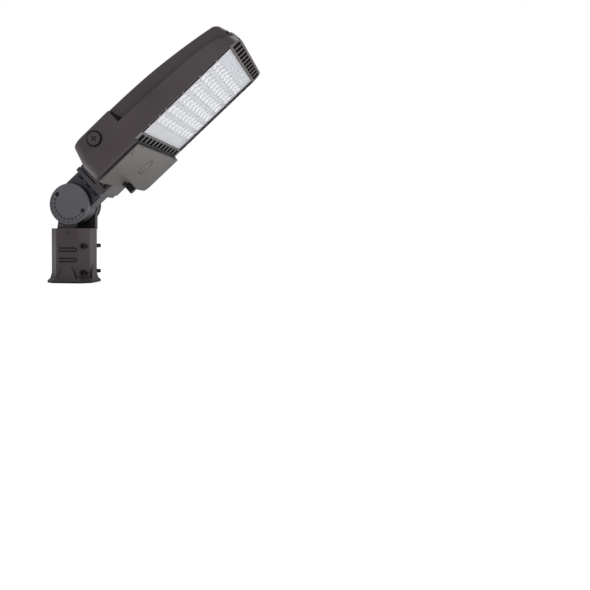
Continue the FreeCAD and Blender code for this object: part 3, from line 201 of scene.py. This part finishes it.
# Zinc plate on steel: pale silver with a faint cloud.
zinc_finish = textured("zinc_plate_on_steel", "#9a9b9d", "#b4b5b8", 0.30, 1.0, 0.01,
                       metallic=1.0)
# Glass-filled nylon, moulded: a black, satin knob.
knob_finish = textured("glass_filled_nylon_moulding", "#060606", "#101010", 0.38, 1.0, 0.03,
                       edge_mm=0.4)
# Silicone rubber seals and grommet: matt black.
rubber_finish = textured("black_silicone_rubber", "#0a0a0a", "#111010", 0.75, 1.5, 0.02)
# White solder mask printed on the aluminium board.
board_finish = textured("white_solder_mask_on_aluminium_board", "#dde1e8", "#e6e9ef", 0.40, 3.0, 0.01)
# Phosphor under clear silicone, warm yellow when unlit.
phosphor_finish = textured("yellow_phosphor_under_silicone", "#d9cf9c", "#e6dcab", 0.35, 1.0, 0.01)
# Grey nylon connector housings.
connector_finish = textured("grey_nylon_connector", "#4d5060", "#5c6070", 0.45, 1.2, 0.02)
# White polycarbonate covers.
cover_finish = textured("white_polycarbonate_cover", "#c9cfdb", "#d7dce6", 0.35, 2.0, 0.01)
# Satin aluminium case of the driver.
case_finish = textured("satin_aluminium_case", "#8b8d90", "#9a9c9f", 0.38, 2.0, 0.02,
                       metallic=0.8)
# Polyamide of the terminal block, silicone of the lead and the lens seal, ABS of the surge module.
block_finish = textured("grey_polyamide_terminal_block", "#6b6d70", "#7a7c80", 0.45, 1.2, 0.02)
lead_finish = textured("white_silicone_lead_jacket", "#b9b9b5", "#c8c8c4", 0.40, 2.0, 0.02)
surge_finish = textured("black_abs_surge_module", "#151515", "#1e1e1e", 0.40, 1.2, 0.02)
gasket_finish = textured("white_silicone_lens_gasket", "#b4b7bf", "#c3c6cd", 0.55, 2.0, 0.01)


def clear_optics(name, pale, shaded, opacity, roughness):
    """Moulded polycarbonate seen over the white board; a point attribute marks the hollows, which get
    painted blue-grey shade.
    """
    material, tree, output = start_material(name)
    hollow_shade = add_node(tree, "ShaderNodeAttribute", {"attribute_name": "hollow_shade"})
    tint = add_node(tree, "ShaderNodeValToRGB", {}, {"Fac": hollow_shade.outputs["Fac"]})
    tint.color_ramp.elements[0].color = linear(pale)
    tint.color_ramp.elements[1].color = linear(shaded)
    shader = add_node(tree, "ShaderNodeBsdfPrincipled",
                      {"Roughness": roughness, "IOR": 1.585, "Alpha": opacity},
                      {"Base Color": tint.outputs["Color"]})
    tree.links.new(shader.outputs["BSDF"], output.inputs["Surface"])
    return material


# Clear polycarbonate, injection moulded: over the white board it reads as a cool white with bright lens
# rims; blue-grey shade is painted into the lens hollows.
lens_sheet_finish = clear_optics("clear_polycarbonate_sheet", "#eef0f5", "#b4b8c8", 0.55, 0.12)
lens_dome_finish = clear_optics("clear_polycarbonate_lenses", "#f4f5f8", "#b4b8c6", 0.85, 0.16)
# Numerals and ticks cut in the dial, with dark paint left in them.
mark_finish = textured("dark_fill_in_cut_marks", "#09080a", "#0f0e10", 0.60, 1.0, 0.01)

NODE_FINISHES = {
    "slip_fitter": fitter_coat,
    "set_screws": screw_finish,
    "knuckle_arm": arm_coat,
    "dial_near": dial_coat,
    "dial_far": dial_coat,
    "dial_screws": screw_finish,
    "arm_bolts": screw_finish,
    "arm_gasket": rubber_finish,
    "housing": bronze_coat,
    "heat_sink": fin_finish,
    "led_board": board_finish,
    "led_chips": phosphor_finish,
    "board_connectors": connector_finish,
    "board_covers": cover_finish,
    "board_screws": zinc_finish,
    "lens_plate": lens_sheet_finish,
    "lens_gasket": gasket_finish,
    "side_plug": bronze_coat,
    "plug_seal": rubber_finish,
    "driver_door": door_coat_warm_lit,
    "door_seal": rubber_finish,
    "hinge_pins": zinc_finish,
    "door_knob": knob_finish,
    "knob_clip": zinc_finish,
    "led_driver": case_finish,
    "driver_screws": zinc_finish,
    "surge_protector": surge_finish,
    "terminal_block": block_finish,
    "ground_screw": zinc_finish,
    "lead_grommet": rubber_finish,
    "led_lead": lead_finish,
}

for node_name, finish in NODE_FINISHES.items():
    for slot in nodes[node_name].material_slots:
        slot.material = finish


# ---- helpers for pieces ----
def mesh_piece(name, points, faces, finish, body, smooth=True, hollow_shades=None):
    """New piece from points in metres, riding on a body."""
    mesh = bpy.data.meshes.new(name)
    mesh.from_pydata([tuple(point) for point in points], [], faces)
    mesh.validate()
    if smooth:
        for polygon in mesh.polygons:
            polygon.use_smooth = True
    # Point attribute carrying the painted shade of the lens hollows.
    if hollow_shades is not None:
        layer = mesh.attributes.new("hollow_shade", "FLOAT", "POINT")
        for index, value in enumerate(hollow_shades):
            layer.data[index].value = value
    mesh.materials.append(finish)
    piece = bpy.data.objects.new(name, mesh)
    bpy.context.scene.collection.objects.link(piece)
    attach(piece, body)
    return piece


# ---- lens plate with its sixty lenses ----
LENS_HALF_U = 9.8
LENS_HALF_V = 10.6
LENS_DOME = 2.6
LENS_HOLLOW = 1.2
HOLLOW_SHIFT = 0.8
RIDGE_HEIGHT = 1.3
LENS_ROWS = [247.7 + 26.76 * row for row in range(6)]
LENS_COLUMNS = [25.99 * (column - 4.5) for column in range(10)]
SHEET_FACE = -29.3
SHEET_INSIDE = -27.3
SHEET_U = (210.1, 416.2)
SHEET_V = 139.8
RIDGES = (235.7, 262.3, 289.0, 316.6, 343.9, 372.0)


def lens_height(x, y):
    """Height of one street-light lens over its foot: an oblong dome with a hollow across it."""
    reach = math.sqrt((x / LENS_HALF_U) ** 2 + (y / LENS_HALF_V) ** 2)
    if reach >= 1:
        return 0.0
    dome = LENS_DOME * (1 - reach ** 2.6) ** 0.6
    hollow = LENS_HOLLOW * math.exp(-((x + HOLLOW_SHIFT) / 3.4) ** 2 - (y / 4.6) ** 2)
    return dome - hollow


def lens_mesh():
    """All lenses as one mesh, with the painted shade of their hollows marked."""
    points = []
    faces = []
    hollow_shades = []
    rings = (1.0, 0.985, 0.95, 0.88, 0.78, 0.66, 0.52, 0.38, 0.24, 0.12)
    around = 24
    for u in LENS_ROWS:
        for v in LENS_COLUMNS:
            first = len(points)
            for ring in rings:
                for step in range(around):
                    turn = 2 * math.pi * step / around
                    x = LENS_HALF_U * ring * math.cos(turn)
                    y = LENS_HALF_V * ring * math.sin(turn)
                    drop = -0.05 if ring == 1.0 else lens_height(x, y)
                    points.append(head(u + x, v + y, SHEET_FACE - drop))
                    # Painted shade, strongest in the lens hollow.
                    hollow_shades.append(math.exp(-((x + HOLLOW_SHIFT) / 2.6) ** 2 - (y / 4.4) ** 2))
            points.append(head(u, v, SHEET_FACE - lens_height(0, 0)))
            hollow_shades.append(1.0)
            for ring in range(len(rings) - 1):
                for step in range(around):
                    after = (step + 1) % around
                    near = first + ring * around
                    far = near + around
                    faces.append((near + step, far + step, far + after, near + after))
            last = first + (len(rings) - 1) * around
            for step in range(around):
                faces.append((last + step, first + len(rings) * around, last + (step + 1) % around))
    return points, faces, hollow_shades


def ribbed_sheet():
    """Flat plate with the low ridges between its rows, as one closed profile drawn along v."""
    profile = [(SHEET_U[0], SHEET_FACE)]
    for u in RIDGES:
        profile += [(u - 1.6, SHEET_FACE), (u - 0.5, SHEET_FACE - RIDGE_HEIGHT),
                    (u + 0.4, SHEET_FACE - RIDGE_HEIGHT), (u + 0.9, SHEET_FACE)]
    profile += [(SHEET_U[1], SHEET_FACE), (SHEET_U[1], SHEET_INSIDE), (SHEET_U[0], SHEET_INSIDE)]
    count = len(profile)
    points = [head(u, v, w) for v in (-SHEET_V, SHEET_V) for u, w in profile]
    faces = []
    for index in range(count):
        after = (index + 1) % count
        faces.append((index, after, count + after, count + index))
    faces.append(tuple(range(count - 1, -1, -1)))
    faces.append(tuple(range(count, 2 * count)))
    return points, faces


lens_points, lens_faces, lens_hollow_shades = lens_mesh()
mesh_piece("moulded_lenses", lens_points, lens_faces, lens_dome_finish, "head",
           hollow_shades=lens_hollow_shades)
sheet_points, sheet_faces = ribbed_sheet()
lens_sheet = mesh_piece("ribbed_lens_sheet", sheet_points, sheet_faces, lens_sheet_finish,
                        "head", smooth=False, hollow_shades=[0.0] * len(sheet_points))
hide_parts("lens_plate")


# ---- black sheets behind the vents: painted shade ----
# Dull, nearly black sheets of painted shade, so the openings read as deep.
vent_shade_finish = textured("black_sheet_for_vent_shade", "#040404", "#080707", 0.85, 1.0, 0.05)
VENT_SHADE_W = (-28.7, -28.3)
VENT_SHADE_SHEETS = ((420.6, 437.0, -138.0, 138.0), (192.0, 207.6, -138.0, 138.0),
           (208.0, 420.0, -149.3, -142.1), (208.0, 420.0, 142.1, 149.3))


def vent_screens():
    """Four thin black sheets of painted shade, each lying behind one row of openings."""
    points = []
    faces = []
    for u0, u1, v0, v1 in VENT_SHADE_SHEETS:
        first = len(points)
        for w in VENT_SHADE_W:
            points += [head(u, v, w) for u, v in ((u0, v0), (u1, v0), (u1, v1), (u0, v1))]
        faces += [(first, first + 3, first + 2, first + 1), (first + 4, first + 5, first + 6, first + 7)]
        for step in range(4):
            after = (step + 1) % 4
            faces.append((first + step, first + after, first + 4 + after, first + 4 + step))
    return mesh_piece("vent_screens", points, faces, vent_shade_finish, "head",
                      smooth=False)


vent_screens()


# ---- scale on the dials ----
DIAL_FACE = 35.9
DIAL_MARKS = range(-15, 166, 15)
READINGS = (15, 0, 15, 30, 45, 60, 75, 90, 75, 60, 45, 30, 15)
NUMERAL_RADIUS = 29.2
NUMERAL_SIZE = 5.4
NUMERAL_BOLDNESS = 0.20
LONG_TICK_START = 33.2
SHORT_TICK_START = 34.6
TICK_END = 36.6
TICK_MIDDLE = 34.5
MARK_PROUD = 0.06
MARK_ROOT = -0.2


def dial_point(side, radius, angle, out):
    """Point on a dial's face, at a head-frame angle in degrees."""
    turn = math.radians(angle)
    u = radius * math.cos(turn)
    w = radius * math.sin(turn)
    return head(u, side * (DIAL_FACE + out), w)


def dial_ticks(side, name):
    """Thirteen long ticks and the short ones between, just proud of the face."""
    points = []
    faces = []
    for mark in range(-15, 166, 5):
        long_tick = mark % 15 == 0
        angle = -90.0 - mark
        inner = LONG_TICK_START if long_tick else SHORT_TICK_START
        half = math.degrees((0.75 if long_tick else 0.5) / TICK_MIDDLE)
        first = len(points)
        corners = ((inner, -half), (inner, half), (TICK_END, half), (TICK_END, -half))
        for out in (MARK_PROUD, MARK_ROOT):
            points += [dial_point(side, radius, angle + shift, out) for radius, shift in corners]
        faces.append((first, first + 1, first + 2, first + 3))
        for step in range(4):
            after = (step + 1) % 4
            faces.append((first + step, first + 4 + step, first + 4 + after, first + after))
    return mesh_piece(name, points, faces, mark_finish, "head", smooth=False)


def dial_numerals(side, name):
    """Reading at every long tick, tops towards the centre."""
    made = []
    for mark, reading in zip(DIAL_MARKS, READINGS):
        angle = -90.0 - mark
        curve = bpy.data.curves.new(name, "FONT")
        curve.body = str(reading)
        curve.align_x = "CENTER"
        curve.align_y = "CENTER"
        curve.size = NUMERAL_SIZE * MM
        curve.offset = NUMERAL_BOLDNESS * MM
        curve.extrude = 0.1 * MM
        curve.materials.append(mark_finish)
        text = bpy.data.objects.new(name + "_" + str(mark), curve)
        bpy.context.scene.collection.objects.link(text)
        centre = dial_point(side, NUMERAL_RADIUS, angle, 0.0)
        up = (dial_point(side, 0, 0, 0.0) - centre).normalized()
        out = Vector((0.0, side, 0.0))
        across = up.cross(out).normalized()
        turn = Matrix((across, up, out)).transposed().to_4x4()
        text.matrix_world = Matrix.Translation(centre) @ turn
        made.append(text)
    bpy.context.view_layer.update()
    depsgraph = bpy.context.evaluated_depsgraph_get()
    joined = bmesh.new()
    for text in made:
        part = bpy.data.meshes.new_from_object(text.evaluated_get(depsgraph))
        part.transform(text.matrix_world)
        joined.from_mesh(part)
        bpy.data.objects.remove(text)
    mesh = bpy.data.meshes.new(name)
    joined.to_mesh(mesh)
    joined.free()
    mesh.materials.clear()
    mesh.materials.append(mark_finish)
    piece = bpy.data.objects.new(name, mesh)
    bpy.context.scene.collection.objects.link(piece)
    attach(piece, "head")
    return piece


for dial_side, dial_name in ((-1, "near"), (1, "far")):
    dial_ticks(dial_side, "dial_ticks_" + dial_name)
    dial_numerals(dial_side, "dial_numerals_" + dial_name)


# ---- floor, world and lamps ----
# Strength of the room's own light, lamp powers in watts, and how far the floor is lifted to white.
ROOM_LIGHT = 0.33
LEFT_STRIP_W = 4.00
FLOOR_CARD_W = 1.38
UNDER_CARD_W = 3.90
FRONT_FILL_W = 4.50
REAR_RIGHT_W = 2.00
TOP_W = 14.20
FLOOR_LIFT = 0.75


def floor_finish():
    """Pale floor: matt white, lifted towards white where the camera or a clear part sees it."""
    material, tree, output = start_material("white_studio_floor")
    place = add_node(tree, "ShaderNodeTexCoord")
    mottle = add_node(tree, "ShaderNodeTexNoise", {"Scale": per_metre(900.0)},
                      {"Vector": place.outputs["Object"]})
    tint = add_node(tree, "ShaderNodeValToRGB", {}, {"Fac": mottle.outputs["Fac"]})
    tint.color_ramp.elements[0].color = linear("#f2f2f2")
    tint.color_ramp.elements[1].color = linear("#f6f6f6")
    matt = add_node(tree, "ShaderNodeBsdfDiffuse", {}, {"Color": tint.outputs["Color"]})
    path = add_node(tree, "ShaderNodeLightPath")
    seen = add_node(tree, "ShaderNodeMath", {"operation": "MAXIMUM"},
                    {0: path.outputs["Is Camera Ray"], 1: path.outputs["Is Transmission Ray"]})
    lift = add_node(tree, "ShaderNodeMath", {"operation": "MULTIPLY", 1: FLOOR_LIFT},
                    {0: seen.outputs["Value"]})
    glow = add_node(tree, "ShaderNodeEmission", {"Color": (1.0, 1.0, 1.0, 1.0)},
                    {"Strength": lift.outputs["Value"]})
    both = add_node(tree, "ShaderNodeAddShader", {},
                    {0: matt.outputs["BSDF"], 1: glow.outputs["Emission"]})
    tree.links.new(both.outputs["Shader"], output.inputs["Surface"])
    return material


floor_mesh = bpy.data.meshes.new("studio_floor")
floor_mesh.from_pydata([(-6, -4, 0), (6, -4, 0), (6, 12, 0), (-6, 12, 0)], [], [(0, 1, 2, 3)])
floor_mesh.materials.append(floor_finish())
studio_floor = bpy.data.objects.new("studio_floor", floor_mesh)
studio_floor.location = (0.0, 0.0, -0.0005)
bpy.context.scene.collection.objects.link(studio_floor)

world = bpy.data.worlds.new("soft_studio")
world.use_nodes = True
bpy.context.scene.world = world
sky = world.node_tree
sky.nodes.clear()
sky_path = add_node(sky, "ShaderNodeLightPath")
sky_seen = add_node(sky, "ShaderNodeMath", {"operation": "MAXIMUM"},
                    {0: sky_path.outputs["Is Camera Ray"], 1: sky_path.outputs["Is Transmission Ray"]})
room_light = add_node(sky, "ShaderNodeBackground",
                      {"Color": (0.95, 0.97, 1.0, 1.0), "Strength": ROOM_LIGHT})
backdrop = add_node(sky, "ShaderNodeBackground",
                    {"Color": (1.0, 1.0, 1.0, 1.0), "Strength": 1.0})
sky_mix = add_node(sky, "ShaderNodeMixShader", {},
                   {0: sky_seen.outputs["Value"], 1: room_light.outputs["Background"],
                    2: backdrop.outputs["Background"]})
add_node(sky, "ShaderNodeOutputWorld", {}, {"Surface": sky_mix.outputs["Shader"]})


def area_lamp(name, place, target, width, height, power, colour):
    """Soft rectangular lamp aimed at a point; places in metres."""
    data = bpy.data.lights.new(name, "AREA")
    data.shape = "RECTANGLE"
    data.size = width
    data.size_y = height
    data.energy = power
    data.color = colour
    lamp = bpy.data.objects.new(name, data)
    lamp.location = place
    aim = Vector(target) - Vector(place)
    lamp.rotation_euler = aim.to_track_quat("-Z", "Y").to_euler()
    bpy.context.scene.collection.objects.link(lamp)
    return lamp


area_lamp("left_strip", (-1.6, -0.55, 1.1), (0.08, 0.0, 0.25), 0.3, 1.2,
          LEFT_STRIP_W, (0.95, 0.96, 1.0))
area_lamp("left_floor_card", (-0.5, 0.1, 0.01), (-0.5, 0.1, 1.0), 0.5, 0.6,
          FLOOR_CARD_W, (1.0, 0.98, 0.97))
# Lit card on the floor below the head: it lights the lens plate and the door from underneath.
under_card = area_lamp("under_card", (0.75, 0.1, 0.012), (0.75, 0.1, 1.0), 1.0, 1.0,
                       UNDER_CARD_W, (1.0, 0.985, 0.96))
under_card.visible_camera = False
area_lamp("front_fill", (0.5, -2.4, 0.7), (0.12, 0.0, 0.25), 1.2, 1.0,
          FRONT_FILL_W, (1.0, 1.0, 1.0))
area_lamp("rear_right_softbox", (1.2, 1.4, 0.7), (0.12, 0.0, 0.2), 1.2, 1.2,
          REAR_RIGHT_W, (1.0, 0.98, 0.93))
area_lamp("top_right_softbox", (1.1, 0.15, 2.1), (0.15, 0.0, 0.2), 1.0, 1.0,
          TOP_W, (1.0, 1.0, 1.0))
